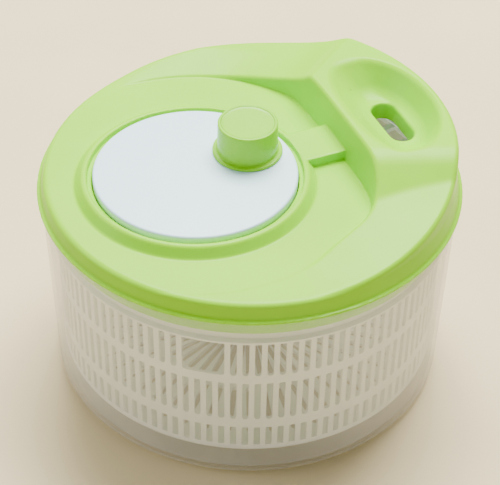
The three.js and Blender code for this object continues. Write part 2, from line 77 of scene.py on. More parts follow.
# ---------------------------------------------------------------- mesh tools
def new_object(name, vertices, faces, smooth=True):
    """A mesh object from mm coordinates, with its faces turned outwards."""
    mesh = bpy.data.meshes.new(name)
    mesh.from_pydata([tuple(v) for v in np.asarray(vertices, float) * MM], [], [tuple(f) for f in faces])
    body = bmesh.new()
    body.from_mesh(mesh)
    bmesh.ops.remove_doubles(body, verts=body.verts, dist=1e-6)
    bmesh.ops.dissolve_degenerate(body, edges=body.edges, dist=1e-7)
    bmesh.ops.recalc_face_normals(body, faces=body.faces)
    body.to_mesh(mesh)
    body.free()
    mesh.update()
    obj = bpy.data.objects.new(name, mesh)
    scene.collection.objects.link(obj)
    if smooth:
        smooth_shade(obj)
    return obj


def smooth_shade(obj, angle=34):
    obj.data.polygons.foreach_set("use_smooth", [True] * len(obj.data.polygons))
    obj.data.set_sharp_from_angle(angle=math.radians(angle))


def apply_modifiers(obj):
    graph = bpy.context.evaluated_depsgraph_get()
    mesh = bpy.data.meshes.new_from_object(obj.evaluated_get(graph))
    obj.modifiers.clear()
    obj.data = mesh
    smooth_shade(obj)
    return obj


def join(name, objects):
    """Several closed shells made into one piece."""
    body = bmesh.new()
    for part in objects:
        body.from_mesh(part.data)
        bpy.data.objects.remove(part)
    mesh = bpy.data.meshes.new(name)
    body.to_mesh(mesh)
    body.free()
    obj = bpy.data.objects.new(name, mesh)
    scene.collection.objects.link(obj)
    smooth_shade(obj)
    return obj


def rounded(profile, radii, steps=5):
    """A profile of (radius, height) corners with an arc of the given radius at each corner."""
    points = []
    corners = [np.array(p, float) for p in profile]
    for i, corner in enumerate(corners):
        radius = radii.get(i, 0)
        if radius == 0:
            points.append(corner)
            continue
        before = corners[i - 1] - corner
        after = corners[(i + 1) % len(corners)] - corner
        reach_before, reach_after = np.linalg.norm(before), np.linalg.norm(after)
        before, after = before / reach_before, after / reach_after
        half = math.acos(np.clip(before @ after, -1, 1)) / 2
        cut_back = min(radius / math.tan(half), 0.48 * reach_before, 0.48 * reach_after)
        fitted = cut_back * math.tan(half)
        centre = corner + (before + after) / np.linalg.norm(before + after) * fitted / math.sin(half)
        start, end = corner + before * cut_back - centre, corner + after * cut_back - centre
        turn = math.acos(np.clip(start @ end / fitted ** 2, -1, 1))
        for k in range(steps + 1):
            share = k / steps
            arm = (math.sin((1 - share) * turn) * start + math.sin(share * turn) * end) / math.sin(turn)
            points.append(centre + arm)
    return points


def turned(name, profile, radii=None, x=0.0, y=0.0, facets=192, steps=5):
    """A turned piece: a closed profile, or one that starts and ends on the axis."""
    points = rounded(profile, radii or {}, steps)
    angles = np.linspace(0, 2 * math.pi, facets, endpoint=False)
    closed = profile[0][0] > 1e-6
    vertices = [(x + r * math.cos(a), y + r * math.sin(a), z) for a in angles for r, z in points]
    count = len(points)
    faces = []
    for i in range(facets):
        j = (i + 1) % facets
        for k in range(count if closed else count - 1):
            m = (k + 1) % count
            faces.append((i * count + k, j * count + k, j * count + m, i * count + m))
    return new_object(name, vertices, faces)


def slotted_sheet(columns, levels, point_at, missing=()):
    """A sheet of equal columns with one line of slots up each column.

    levels holds (height, half width of the slot line, open above) rows, point_at maps (turn, height, side) to
    a point, and missing holds the (column, level) cells of a wide window.
    """
    vertices = []
    for side in (0, 1):
        for column in range(columns):
            for height, half, _ in levels:
                for offset in (-0.5, -half, half):
                    vertices.append(point_at((column + offset) / columns, height, side))
    rows = len(levels)

    def vertex(side, column, row, item):
        return ((side * columns + column % columns) * rows + row) * 3 + item

    faces = []
    edges = {}

    def add(corners):
        front = [vertex(0, *c) for c in corners]
        back = [vertex(1, *c) for c in corners]
        faces.append(front)
        faces.append(back[::-1])
        for a, b in zip(range(4), (1, 2, 3, 0)):
            key = frozenset((front[a], front[b]))
            edges[key] = None if key in edges else (front[a], front[b], back[b], back[a])

    for column in range(columns):
        for row in range(rows - 1):
            if (column, row) not in missing:
                add([(column, row, 0), (column, row, 1), (column, row + 1, 1), (column, row + 1, 0)])
            if not levels[row][2]:
                add([(column, row, 1), (column, row, 2), (column, row + 1, 2), (column, row + 1, 1)])
            if (column + 1, row) not in missing:
                add([(column, row, 2), (column + 1, row, 0), (column + 1, row + 1, 0), (column, row + 1, 2)])
    faces.extend(quad for quad in edges.values() if quad)
    return vertices, faces


# ---------------------------------------------------------------- implicit shapes, for moulded forms with fillets
def round_cut(a, b, radius):
    """Where both a and b are inside, with the edge rounded."""
    corner = np.hypot(np.maximum(radius + a, 0), np.maximum(radius + b, 0))
    return np.minimum(-radius, np.maximum(a, b)) + corner


def round_join(a, b, radius):
    """Where a or b is inside, with the inner corner filleted."""
    corner = np.hypot(np.maximum(radius - a, 0), np.maximum(radius - b, 0))
    return np.maximum(radius, np.minimum(a, b)) - corner


def implicit_mesh(field, low, high, step):
    """Vertices and quads of the surface where field(x, y, z) crosses zero."""
    axes = [np.arange(lo, hi + step, step, dtype=np.float32) for lo, hi in zip(low, high)]
    x, y, z = np.meshgrid(*axes, indexing="ij")
    values = field(x, y, z)
    shape = values.shape
    total = np.zeros((values.size, 3))
    count = np.zeros(values.size)
    strides = np.array([shape[1] * shape[2], shape[2], 1])
    quads = []
    inside = values < 0
    for axis in range(3):
        first = [slice(None)] * 3
        second = [slice(None)] * 3
        first[axis], second[axis] = slice(0, -1), slice(1, None)
        crossing = inside[tuple(first)] != inside[tuple(second)]
        others = [other for other in range(3) if other != axis]
        for other in others:
            edge = [slice(None)] * 3
            edge[other] = 0
            crossing[tuple(edge)] = False
            edge[other] = -1
            crossing[tuple(edge)] = False
        cell = np.argwhere(crossing)
        flat = cell @ strides
        a, b = values.ravel()[flat], values.ravel()[flat + strides[axis]]
        point = cell.astype(float)
        point[:, axis] += a / (a - b)
        corners = [flat - dj * strides[others[0]] - dk * strides[others[1]]
                   for dj, dk in ((0, 0), (1, 0), (1, 1), (0, 1))]
        for corner in corners:
            np.add.at(count, corner, 1)
            for k in range(3):
                np.add.at(total[:, k], corner, point[:, k])
        quad = np.stack(corners, 1)
        flip = (a > 0) ^ (axis == 1)
        quad[flip] = quad[flip][:, ::-1]
        quads.append(quad)
    used = np.flatnonzero(count)
    vertices = total[used] / count[used, None] * step + np.array(low)
    index = np.full(values.size, -1)
    index[used] = np.arange(len(used))
    quads = index[np.concatenate(quads)]
    probe = 0.02
    for _ in range(4):
        centre = field(*vertices.T)
        slope = np.stack([
            (field(*(vertices + shift).T) - field(*(vertices - shift).T)) / (2 * probe)
            for shift in np.eye(3) * probe], 1)
        move = centre[:, None] * slope / np.maximum((slope ** 2).sum(1), 0.2)[:, None]
        length = np.linalg.norm(move, axis=1, keepdims=True)
        vertices = vertices - move * np.minimum(1, 0.4 * step / np.maximum(length, 1e-9))
    return vertices, quads


def smoothstep(value, low, high):
    share = np.clip((value - low) / (high - low), 0, 1)
    return share * share * (3 - 2 * share)


# ---------------------------------------------------------------- lid shell, mm
FLANGE = {"r": LID_HIGH[0], "low": 123.8, "high": 125.5, "edge": 0.7}
WALL = {"foot_r": 120.5, "foot_z": 126.0, "top_r": 118.3, "edge": 2.5}
SKIRT = {"outer": 117.2, "inner": 115.0, "low": LID_LOW[2]}
CUP = {"r": 61.6, "floor": 126.5, "skin": 2.3, "under": 124.0, "ledge_r": 58.9, "ledge_z": 137.5}
BEZEL = {"top_r": 64.5, "foot_r": 69.0, "z": 140.5}
TAB = {"half": 13.8, "edge": 0.7}
RISE = {"inner_x": 56.8, "slope": 0.17, "back_circle": 101.5, "front_circle": 103.3, "front_narrowing": 7.8}
# the front tail grows evenly up to a ramp; the ramp falls from a crease that is turned off the radial
FRONT = {
    "end": 96.0, "longest": 58.0, "growth": 0.135, "bend": 0.0018,
    "crease": (58.0, 42.0), "turn": 20.6, "fall": 0.54,
}
# the back tail is nearly level, banks towards the crank and sweeps up to the handle
BACK = {
    "level": 139.6, "sweep": 17.6, "start": 36.3, "decay": 12.0, "end": 112.0, "growth": 0.21,
    "bank": 4.6, "bank_depth": 24.0, "steepens": 84.0,
}
WELL = {"floor_z": 141.0, "x": (91.5, 87.6), "half_x": (12.0, 25.4), "half_y": (28.0, 46.3),
        "arc": 113.0, "power": 2.78}
DRAIN = {"x": 91.0, "half_width": 7.5, "half_length": 11.5, "low": 129.5}
SKIN = 2.3
BORE = {"crank": 6.9, "shaft": 6.3}
BOSS = {"r": 9.5, "top": 132.9}


def blend_low(a, b, width):
    """The lower of a and b, with the crease between them rounded over width."""
    near = np.maximum(width - np.abs(a - b), 0) / width
    return np.minimum(a, b) - near * near * width / 4


def blend_high(a, b, width):
    return -blend_low(-a, -b, width)


def bearing_of(x, y):
    """Degrees away from the middle of the handle, seen from the lid's axis."""
    return np.degrees(np.abs(np.arctan2(y, x)))


def rise_inner(x, y):
    """Signed distance to the inner edge of the handle and tails, negative under them."""
    narrowing = RISE["front_narrowing"] * smoothstep(bearing_of(x, y), 55, 82)
    circle = np.where(y < 0, RISE["front_circle"] - narrowing, RISE["back_circle"])
    return blend_low(circle - np.hypot(x - CRANK_X, y), RISE["inner_x"] - x, 9.0)


def rise_height(x, y):
    """Height of the handle and its two tails over a point."""
    bearing = bearing_of(x, y)
    run = np.clip(FRONT["end"] - bearing, 0, FRONT["longest"])
    front_tail = LID_TOP + FRONT["growth"] * run + FRONT["bend"] * run * run
    turn = math.radians(FRONT["turn"])
    crease_x, crease_y = FRONT["crease"]
    across = math.cos(turn) * (-y - crease_y) - math.sin(turn) * (x - crease_x)
    front = blend_high(blend_low(HANDLE_TOP - FRONT["fall"] * across, HANDLE_TOP + 0 * x, 4.0), front_tail, 1.0)
    sweep = np.exp(np.minimum((BACK["start"] - bearing) / BACK["decay"], 0.6))
    depth = np.clip(-rise_inner(x, y) / BACK["bank_depth"], 0, 1)
    bank = BACK["bank"] * smoothstep(bearing, 46, 86) * (1 - depth)
    back = blend_low(BACK["level"] + BACK["sweep"] * sweep, HANDLE_TOP + 0 * x, 3.0) - bank
    taper = LID_TOP + BACK["growth"] * (BACK["end"] - bearing) + np.maximum(BACK["steepens"] - bearing, 0)
    back = blend_low(back, taper, 1.5)
    return np.where(y < 0, front, back)


def well_side(x, y, z):
    """About the distance to the finger well's bent oval side, negative inside it."""
    share = np.clip((z - WELL["floor_z"]) / (HANDLE_TOP - WELL["floor_z"]), -0.3, 1.3)
    centre, half_x, half_y = ((1 - share) * WELL[k][0] + share * WELL[k][1] for k in ("x", "half_x", "half_y"))
    bend = WELL["arc"] - np.sqrt(np.maximum(WELL["arc"] ** 2 - y * y, 1))
    bend = np.minimum(bend, half_x)
    across = np.abs((x - centre + bend / 2) / (half_x - bend / 2)) ** WELL["power"]
    along = np.abs(y / half_y) ** WELL["power"]
    size = (across * half_x + along * half_y) / np.maximum(across + along, 1e-9)
    return ((across + along) ** (1 / WELL["power"]) - 1) * size * 0.8


def drain_side(x, y):
    along = np.maximum(np.abs(y) - DRAIN["half_length"], 0)
    return np.hypot(x - DRAIN["x"], along) - DRAIN["half_width"]


def lid_field(x, y, z):
    """About the distance to the lid's surface, negative in the plastic."""
    r = np.hypot(x, y)
    from_crank = np.hypot(x - CRANK_X, y)
    height = rise_height(x, y)
    inner = rise_inner(x, y) + RISE["slope"] * np.minimum(z - height, 0)
    rise = round_cut((z - height) * 0.9, inner, 2.0)
    bezel_run = BEZEL["foot_r"] - BEZEL["top_r"]
    bezel_rise = BEZEL["z"] - LID_TOP
    bezel_side = ((from_crank - BEZEL["foot_r"]) * bezel_rise + (z - LID_TOP) * bezel_run)
    bezel = round_cut(z - BEZEL["z"], bezel_side / math.hypot(bezel_run, bezel_rise), 1.0)
    tab_side = np.maximum(np.abs(y) - TAB["half"], np.maximum(CRANK_X + CUP["r"] - x, x - RISE["inner_x"]))
    tab = round_cut(z - BEZEL["z"], tab_side, TAB["edge"])
    top = round_join(z - LID_TOP, rise, 0.4)
    top = round_join(top, np.minimum(bezel, tab), 0.7)
    draft = (WALL["foot_r"] - WALL["top_r"]) / (LID_TOP - WALL["foot_z"])
    wall_r = WALL["foot_r"] - draft * np.minimum(z - WALL["foot_z"], LID_TOP - WALL["foot_z"])
    shell = round_cut(top, r - wall_r + 0.02 * np.maximum(z - LID_TOP, 0), WALL["edge"])
    shell = np.maximum(shell, FLANGE["low"] - z)
    middle_z, half_z = (FLANGE["low"] + FLANGE["high"]) / 2, (FLANGE["high"] - FLANGE["low"]) / 2
    flange = round_cut(r - FLANGE["r"], np.abs(z - middle_z) - half_z, FLANGE["edge"])
    shell = round_join(shell, flange, 0.8)
    recess = round_cut(from_crank - CUP["ledge_r"], CUP["floor"] - z, 1.0)
    shell = round_cut(shell, -round_cut(from_crank - CUP["r"], CUP["ledge_z"] - z, 0.6), 0.9)
    shell = round_cut(shell, -recess, 0.4)
    well = round_cut(well_side(x, y, z), WELL["floor_z"] - z, 5.0)
    drain = drain_side(x, y)
    shell = round_cut(shell, -well, 2.0)
    hollow = round_cut(r - SKIRT["inner"], z - LID_TOP + SKIN, 1.5)
    handle_hollow = np.maximum(np.maximum(z - height + SKIN, inner + SKIN), r - SKIRT["inner"])
    tab_hollow = np.maximum(tab_side + SKIN, z - BEZEL["z"] + SKIN)
    hollow = np.minimum(np.minimum(hollow, handle_hollow), tab_hollow)
    cup_wall = np.maximum(from_crank - CUP["ledge_r"] - CUP["skin"], CUP["under"] - z)
    tub = round_cut(well_side(x, y, z) - SKIN, WELL["floor_z"] - SKIN - z, 5.0)
    sleeve = np.maximum(drain - SKIN, DRAIN["low"] - z)
    hollow = np.maximum(hollow, -np.minimum(cup_wall, np.minimum(tub, sleeve)))
    shell = round_cut(shell, -hollow, 0.7)
    shell = round_cut(shell, -drain, 1.2)
    skirt = np.maximum(np.maximum(r - SKIRT["outer"], SKIRT["inner"] - r), z - FLANGE["low"] - 1)
    shell = np.minimum(shell, round_cut(skirt, SKIRT["low"] - z, 0.8))
    crank_bore = from_crank - BORE["crank"]
    shaft_bore = r - BORE["shaft"]
    boss = np.maximum(from_crank - BOSS["r"], np.maximum(z - BOSS["top"], CUP["under"] - z))
    return np.maximum(np.minimum(shell, boss), -np.minimum(crank_bore, shaft_bore))


def build_lid():
    margin = 3.0
    low = (LID_LOW[0] - margin, LID_LOW[1] - margin, LID_LOW[2] - margin)
    high = (LID_HIGH[0] + margin, LID_HIGH[1] + margin, LID_HIGH[2] + margin)
    step = 1.0
    vertices, quads = implicit_mesh(lid_field, low, high, step)
    obj = new_object("lid_moulding", vertices, quads)
    smooth_shade(obj, 50)
    return obj


# ---------------------------------------------------------------- bowl, basket and driver disc, mm
BOWL = {"wall": 2.2, "floor": 2.5, "corner": 4.5}
BASKET = {
    "columns": 104, "slot": 3.7, "wall": 2.0, "bottom_r": 111.4, "top_r": 113.4, "bead_z": 104.5,
    "floor_z": 17.5, "floor": 2.2,
}
SLOT_ROWS = ((21.8, 36.0, False), (42.8, 71.0, True), (77.0, 101.0, True))   # foot, top, round foot
WINDOW = {"columns": 4, "bearing": -124.8}
FLOOR_RINGS = ((24.0, 58.0), (64.0, 100.0))
FLOOR_SLOTS = 48
FLOOR_SLOT = {"half": 1.9, "end_half": 0.9, "rounding": 1.2}
DRIVER = {
    "low": 114.2, "spokes": 40, "spoke": 3.4, "hub_r": 12, "hub_ring": 30.0, "ring_r": 109.2, "rim_r": 110.9,
    "lugs": 4, "lug_inner": 107.7, "lug_outer": 113.6, "lug_half": 5.2,
}


def build_bowl():
    foot_r, rim_r = 115.7, BOWL_HIGH[0]
    rim = BOWL_HIGH[2]
    wall, floor, corner = BOWL["wall"], BOWL["floor"], BOWL["corner"]
    profile = [
        (0, 0.6), (foot_r - 9, 0.6), (foot_r - 8, 0), (foot_r - 5, 0), (foot_r, 4.5),
        (rim_r - 0.5, rim - 3.2), (rim_r, rim - 2.8), (rim_r, rim), (rim_r - wall, rim),
        (foot_r - wall, corner + 2), (foot_r - wall - corner, floor), (10, floor), (7, 8), (3.3, 8), (3.3, floor),
        (0, floor),
    ]
    radii = {2: 0.4, 3: 2.0, 4: 5.5, 5: 0.3, 6: 0.3, 7: 0.8, 8: 0.8, 9: 3.0, 10: 3.0, 11: 2.0, 12: 0.6}
    return turned("bowl_wall", profile, radii, facets=256)


def slot_levels(low, high):
    """Levels up the basket wall: (height, half width as a share of the pitch, open above)."""
    pitch = 2 * math.pi * (BASKET["bottom_r"] + 1) / BASKET["columns"]
    half = BASKET["slot"] / 2 / pitch
    radius = BASKET["slot"] / 2
    levels = [(low, half, False)]
    for foot, top, round_foot in SLOT_ROWS:
        corner = radius if round_foot else 0.6
        for turn in np.linspace(0, math.pi / 2, 5 if round_foot else 3):
            drop = half * corner / radius
            levels.append((foot + corner * (1 - math.cos(turn)), half - drop + drop * math.sin(turn), True))
        corner = 0.6
        for turn in np.linspace(math.pi / 2, 0, 3):
            drop = half * corner / radius
            levels.append((top - corner * (1 - math.cos(turn)), half - drop + drop * math.sin(turn), turn > 0.01))
    levels.append((high, half, False))
    return levels


def build_basket_wall():
    low, high = BASKET["floor_z"], BASKET_HIGH[2]
    levels = slot_levels(low + 1.6, high)
    columns = BASKET["columns"]
    row_foot, row_top, _ = SLOT_ROWS[2]
    open_rows = [i for i, (height, _, is_open) in enumerate(levels) if is_open and height >= row_foot - 0.01]
    missing = set()
    for turn in (0, 180):
        first = round(columns * ((WINDOW["bearing"] + turn) % 360) / 360 - WINDOW["columns"] / 2 + 0.5)
        missing |= {((first + i) % columns, row) for i in range(1, WINDOW["columns"]) for row in open_rows}

    def point_at(turn, height, side):
        share = (height - low) / (high - low)
        r = BASKET["bottom_r"] + (BASKET["top_r"] - BASKET["bottom_r"]) * share - side * BASKET["wall"]
        a = 2 * math.pi * turn
        return r * math.cos(a), r * math.sin(a), height

    vertices, faces = slotted_sheet(columns, levels, point_at, missing)
    return new_object("wall", vertices, faces)


def build_basket_floor():
    half, end_half, rounding = FLOOR_SLOT["half"], FLOOR_SLOT["end_half"], FLOOR_SLOT["rounding"]
    levels = [(12.0, 0.2, False)]
    for inner, outer in FLOOR_RINGS:
        for r in (inner, inner + rounding):
            levels.append((r, (half if r > inner else end_half) * FLOOR_SLOTS / (2 * math.pi * r), True))
        levels.append((outer - rounding, half * FLOOR_SLOTS / (2 * math.pi * outer), True))
        levels.append((outer, end_half * FLOOR_SLOTS / (2 * math.pi * outer), False))
    levels.append((BASKET["bottom_r"] - 1.0, 0.1, False))
    top, bottom = BASKET["floor_z"] + BASKET["floor"], BASKET["floor_z"]

    def point_at(turn, r, side):
        a = 2 * math.pi * turn
        return r * math.cos(a), r * math.sin(a), (top, bottom)[side]

    vertices, faces = slotted_sheet(FLOOR_SLOTS, levels, point_at)
    return new_object("floor", vertices, faces)


def build_basket():
    bottom_r, top_r, wall = BASKET["bottom_r"], BASKET["top_r"], BASKET["wall"]
    low, floor, bead_z = BASKET["floor_z"], BASKET["floor"], BASKET["bead_z"]
    bead_r = BASKET_HIGH[0]
    foot = turned("foot", [
        (bottom_r - wall - 3, low), (bottom_r - 0.2, low), (bottom_r + 0.6, low + 2.4), (bottom_r + 0.1, low + 3.2),
        (bottom_r - wall, low + 3.2), (bottom_r - wall - 3, low + floor)],
        {1: 1.8, 2: 0.3, 3: 0.3, 5: 0.5})
    bead = turned("bead", [
        (top_r - 1.6, bead_z - 1.6), (bead_r - 1.6, bead_z - 1.2), (bead_r, bead_z - 0.7), (bead_r, bead_z + 0.7),
        (bead_r - 1.6, bead_z + 1.2), (top_r - 1.6, bead_z + 1.6)],
        {1: 0.8, 2: 0.5, 3: 0.5, 4: 0.8})
    lip = turned("lip", [
        (top_r - wall - 0.3, BASKET_HIGH[2] - 1.4), (top_r + 0.1, BASKET_HIGH[2] - 1.4),
        (top_r + 0.1, BASKET_HIGH[2]), (top_r - wall - 0.3, BASKET_HIGH[2])], {2: 0.6, 3: 0.6})
    socket = turned("socket", [
        (0, low), (7.8, low), (7.8, BASKET_LOW[2]), (10.5, BASKET_LOW[2]), (10.5, low), (13.5, low),
        (13.5, low + floor), (0, low + floor)], {2: 0.5, 3: 0.6, 4: 1.0})
    return join("basket_moulding", [build_basket_wall(), build_basket_floor(), foot, bead, lip, socket])


def build_driver():
    """The spoked disc that turns the basket: hub, thin spokes, rim and four lugs."""
    low, high = DRIVER["low"], DRIVER_HIGH[2]
    spokes, spoke, inner, outer = DRIVER["spokes"], DRIVER["spoke"], DRIVER["hub_ring"], DRIVER["ring_r"]
    hub_r, rim_r = DRIVER["hub_r"], DRIVER["rim_r"]
    near, far, half = DRIVER["lug_inner"], DRIVER["lug_outer"], DRIVER["lug_half"]
    levels = [(12.0, 0.2, False)]
    for r, is_open in ((inner, True), (inner + 1.5, True), (outer - 1.5, True), (outer, False)):
        rounding = 0.0 if is_open and r > inner else 0.4
        width = 2 * math.pi * r / spokes - spoke - 2 * rounding
        levels.append((r, width / 2 * spokes / (2 * math.pi * r), is_open))
    levels.append((rim_r, 0.3, False))

    def point_at(turn, r, side):
        a = 2 * math.pi * turn
        return r * math.cos(a), r * math.sin(a), (high, low)[side]

    web = new_object("web", *slotted_sheet(spokes, levels, point_at))
    hub = turned("hub", [
        (3.4, DRIVER_LOW[2]), (hub_r, DRIVER_LOW[2]), (hub_r, low), (15, low), (15, high), (3.4, high)],
        {1: 0.8, 2: 0.8})
    rim = turned("rim", [(outer + 0.1, high), (outer + 0.1, low - 0.2), (rim_r, low - 0.2), (rim_r, high + 0.2),
                         (rim_r - 1.0, high + 0.2), (rim_r - 1.0, high)], {1: 0.3, 2: 0.3, 3: 0.15, 4: 0.15})
    lugs = []
    for i in range(DRIVER["lugs"]):
        a = math.radians(45 + 90 * i)
        out, side = Vector((math.cos(a), math.sin(a), 0)), Vector((-math.sin(a), math.cos(a), 0))
        corners = [out * r + side * s + Vector((0, 0, z)) for z in (low, high) for r, s in
                   ((near, -half), (far, -half), (far, half), (near, half))]
        lug = new_object("lug", corners, [(0, 1, 2, 3), (4, 5, 6, 7), (0, 1, 5, 4), (1, 2, 6, 5), (2, 3, 7, 6),
                                          (3, 0, 4, 7)])
        bevel = lug.modifiers.new("edge", "BEVEL")
        bevel.width, bevel.segments = 0.5 * MM, 2
        lugs.append(apply_modifiers(lug))
    return join("driver_wheel", [web, hub, rim] + lugs)


# ---------------------------------------------------------------- crank disc and knob, mm
DISC = {"plate": 2.6, "skirt_r": 55, "skirt_low": 135.2, "hub_r": 5}
POST = {"r": 4, "top": 152.2}
GRIP_R = 17.2
CAP_R = 15.32


def build_crank_disc():
    top, r = DISC_TOP, DISC_R
    plate, skirt_r, skirt_low, hub_r = top - DISC["plate"], DISC["skirt_r"], DISC["skirt_low"], DISC["hub_r"]
    disc = turned("plate", [
        (0, plate), (skirt_r, plate), (skirt_r, skirt_low), (r, skirt_low), (r, top), (0, top + 0.15)],
        {2: 0.5, 3: 0.6, 4: 1.3}, x=CRANK_X, facets=256)
    hub = turned("hub", [(1.6, DISC_LOW[2]), (hub_r, DISC_LOW[2]), (hub_r, plate + 0.5), (1.6, plate + 0.5)],
                 {1: 0.5}, x=CRANK_X, facets=64)
    post = turned("post", [(0, top - 1), (POST["r"], top - 1), (POST["r"], POST["top"]), (0, POST["top"])],
                  {2: 0.4}, x=KNOB_X, y=KNOB_Y, facets=64)
    return join("crank_plate", [disc, hub, post])


def build_knob():
    bottom, top = KNOB_LOW[2], KNOB_HIGH[2]
    r, flare = GRIP_R, (KNOB_HIGH[0] - KNOB_LOW[0]) / 2
    return turned("knob_grip", [
        (4.3, bottom), (6.7, bottom), (6.7, top - 11.8), (r - 2, top - 11.8), (flare - 3, bottom), (flare, bottom),
        (flare, bottom + 1.7), (r + 0.9, bottom + 1.9), (r + 0.3, bottom + 2.4), (r, top), (r - 1.8, top),
        (r - 1.8, top - 3.6), (r - 3.2, top - 3.8), (r - 3.4, top - 9.8), (4.3, top - 9.8)],
        {5: 0.4, 6: 0.7, 7: 0.2, 8: 0.4, 9: 1.2, 10: 0.3}, x=KNOB_X, y=KNOB_Y, facets=128)


def build_knob_cap():
    low, high = node_box("knob_cap")
    profile = [(0, low[2]), (CAP_R, low[2]), (CAP_R, high[2] + 0.45), (CAP_R - 1.6, high[2] + 0.1),
               (0, high[2] - 0.1)]
    return turned("knob_lid", profile, {2: 0.25, 3: 1.5}, x=KNOB_X, y=KNOB_Y, facets=128)


# ---------------------------------------------------------------- small turned pieces, mm
SHANK_R = 1.3


def ring_piece(node, name, outer, inner, edge=0.3):
    low, high = node_box(node)
    x, y = middle(node)
    return turned(name, [(inner, low[2]), (outer, low[2]), (outer, high[2]), (inner, high[2])],
                  {0: edge, 1: edge, 2: edge, 3: edge}, x=x, y=y, facets=64, steps=3)


def screw_piece(node, name, head_r, head_high, up=True):
    """A pan head screw with a cross recess, shank towards +Z when up."""
    low, high = node_box(node)
    x, y = middle(node)
    if up:
        tip, seat, crown = high[2], low[2] + head_high, low[2]
    else:
        tip, seat, crown = low[2], high[2] - head_high, high[2]
    sign = 1 if up else -1
    profile = [(0, crown), (head_r * 0.72, crown), (head_r, crown + 0.55 * sign), (head_r, seat),
               (SHANK_R, seat), (SHANK_R, tip - 1.2 * sign), (0, tip)]
    head = turned("head", profile, {1: 0.4, 2: 0.4, 3: 0.15}, x=x, y=y, facets=48, steps=3)
    arm, width, deep = head_r * 0.62, head_r * 0.16, head_high * 0.6
    outline = [(arm, width), (width, width), (width, arm), (-width, arm), (-width, width), (-arm, width),
               (-arm, -width), (-width, -width), (-width, -arm), (width, -arm), (width, -width), (arm, -width)]
    corners = [(x + px, y + py, crown + dz * sign) for dz in (-0.5, deep) for px, py in outline]
    count = len(outline)
    faces = [tuple(range(count)), tuple(range(count, 2 * count))]
    faces += [(i, (i + 1) % count, count + (i + 1) % count, count + i) for i in range(count)]
    cross = new_object("cross", corners, faces)
    cutter = head.modifiers.new("recess", "BOOLEAN")
    cutter.object, cutter.operation, cutter.solver = cross, "DIFFERENCE", "EXACT"
    apply_modifiers(head)
    bpy.data.objects.remove(cross)
    head.name = name
    return head


def build_bearing_plate():
    low, high = node_box("bearing_plate")
    step = low[2] + 2.8
    profile = [(6.3, low[2]), (9.5, low[2]), (9.5, step), (23, step), (23, high[2]), (6.3, high[2])]
    return turned("bearing_cover", profile, {1: 0.6, 2: 1.2, 3: 0.8, 4: 0.4}, facets=96)


def build_pin():
    low, high = node_box("pivot_pin")
    return turned("bowl_pin", [(0, low[2]), (3, low[2]), (3, high[2]), (0, high[2])], {2: 2.6}, facets=64, steps=8)


def build_pivot_cup():
    low, high = node_box("pivot_cup")
    hollow = 15.3
    profile = [(0, hollow), (3.3, hollow), (3.3, low[2]), (7.5, low[2]), (7.5, high[2]), (0, high[2])]
    return turned("basket_cup", profile, {2: 0.4, 3: 0.6, 4: 0.8}, facets=64)


# ---------------------------------------------------------------- materials
def principled(name, colour, roughness, **sockets):
    """A new node material with its Principled shader; sockets are set on the shader itself."""
    material = bpy.data.materials.new(name)
    material.use_nodes = True
    shader = material.node_tree.nodes["Principled BSDF"]
    shader.inputs["Base Color"].default_value = (*colour, 1)
    shader.inputs["Roughness"].default_value = roughness
    for socket, value in sockets.items():
        shader.inputs[socket.replace("_", " ")].default_value = value
    return material, shader


def noise(material, scale, detail=3.0, roughness=0.55, stretch=(1, 1, 1)):
    """Noise in object space, metres times scale, as a node whose Fac output is about 0.5."""
    nodes, links = material.node_tree.nodes, material.node_tree.links
    place = nodes.new("ShaderNodeTexCoord")
    mapping = nodes.new("ShaderNodeMapping")
    mapping.inputs["Scale"].default_value = stretch
    texture = nodes.new("ShaderNodeTexNoise")
    texture.inputs["Scale"].default_value = scale
    texture.inputs["Detail"].default_value = detail
    texture.inputs["Roughness"].default_value = roughness
    links.new(place.outputs["Object"], mapping.inputs["Vector"])
    links.new(mapping.outputs["Vector"], texture.inputs["Vector"])
    return texture


def remap(material, source, low, high, from_low=0.3, from_high=0.7):
    nodes, links = material.node_tree.nodes, material.node_tree.links
    node = nodes.new("ShaderNodeMapRange")
    node.inputs["From Min"].default_value = from_low
    node.inputs["From Max"].default_value = from_high
    node.inputs["To Min"].default_value = low
    node.inputs["To Max"].default_value = high
    links.new(source, node.inputs["Value"])
    return node.outputs["Result"]


def vary_colour(material, shader, source, dark, light):
    nodes, links = material.node_tree.nodes, material.node_tree.links
    ramp = nodes.new("ShaderNodeValToRGB")
    ramp.color_ramp.elements[0].position = 0.3
    ramp.color_ramp.elements[0].color = (*dark, 1)
    ramp.color_ramp.elements[1].position = 0.7
    ramp.color_ramp.elements[1].color = (*light, 1)
    links.new(source, ramp.inputs["Fac"])
    links.new(ramp.outputs["Color"], shader.inputs["Base Color"])


def add_bump(material, shader, source, distance, strength=0.3):
    nodes, links = material.node_tree.nodes, material.node_tree.links
    bump = nodes.new("ShaderNodeBump")
    bump.inputs["Strength"].default_value = strength
    bump.inputs["Distance"].default_value = distance
    links.new(source, bump.inputs["Height"])
    links.new(bump.outputs["Normal"], shader.inputs["Normal"])


def moulded_plastic(name, colour, roughness, drift=0.04, grain=900.0, grain_depth=2e-5, **sockets):
    """Injection-moulded plastic: slow colour drift, uneven gloss and a fine moulded grain."""
    material, shader = principled(name, colour, roughness, **sockets)
    slow = noise(material, 14.0)
    dark = tuple(c * (1 - drift) for c in colour)
    light = tuple(min(1, c * (1 + drift)) for c in colour)
    vary_colour(material, shader, slow.outputs["Fac"], dark, light)
    gloss = noise(material, 60.0, detail=5.0)
    links = material.node_tree.links
    links.new(remap(material, gloss.outputs["Fac"], roughness - 0.04, roughness + 0.05), shader.inputs["Roughness"])
    fine = noise(material, grain, detail=2.0)
    add_bump(material, shader, fine.outputs["Fac"], grain_depth)
    return material


